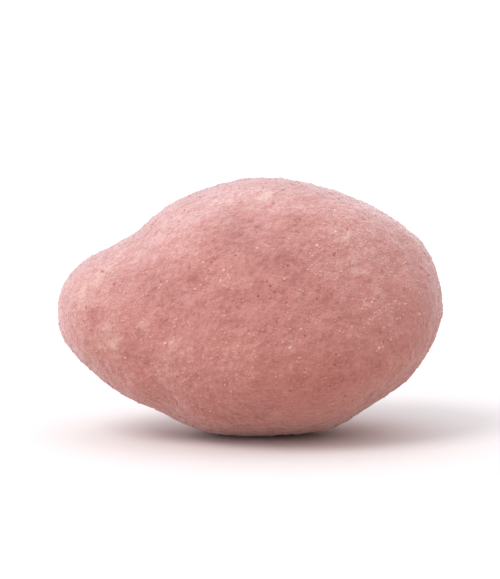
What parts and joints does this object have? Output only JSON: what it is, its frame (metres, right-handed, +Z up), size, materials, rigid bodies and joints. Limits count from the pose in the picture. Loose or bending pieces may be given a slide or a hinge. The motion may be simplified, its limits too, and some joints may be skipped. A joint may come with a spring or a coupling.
{
  "type": "strawberry white chocolate almond",
  "caption": "Panned almond in a thick matt coat of white chocolate and strawberry powder: a fat, slightly lumpy egg with a rounded knob over its tip, lying on its belly.",
  "frame": {"origin": "on the surface that the almond rests on, under the middle of its bounding box", "axes": "+X along the almond from its knobbed tip to its blunt end, +Y across it away from the picture's camera, +Z up"},
  "size_m": [0.0314, 0.0204, 0.0211],
  "materials": {
    "strawberry_coat": "matt, powdered"
  },
  "bodies": {
    "root": {"coated_almond": "strawberry_coat"}
  },
  "joints": []
}
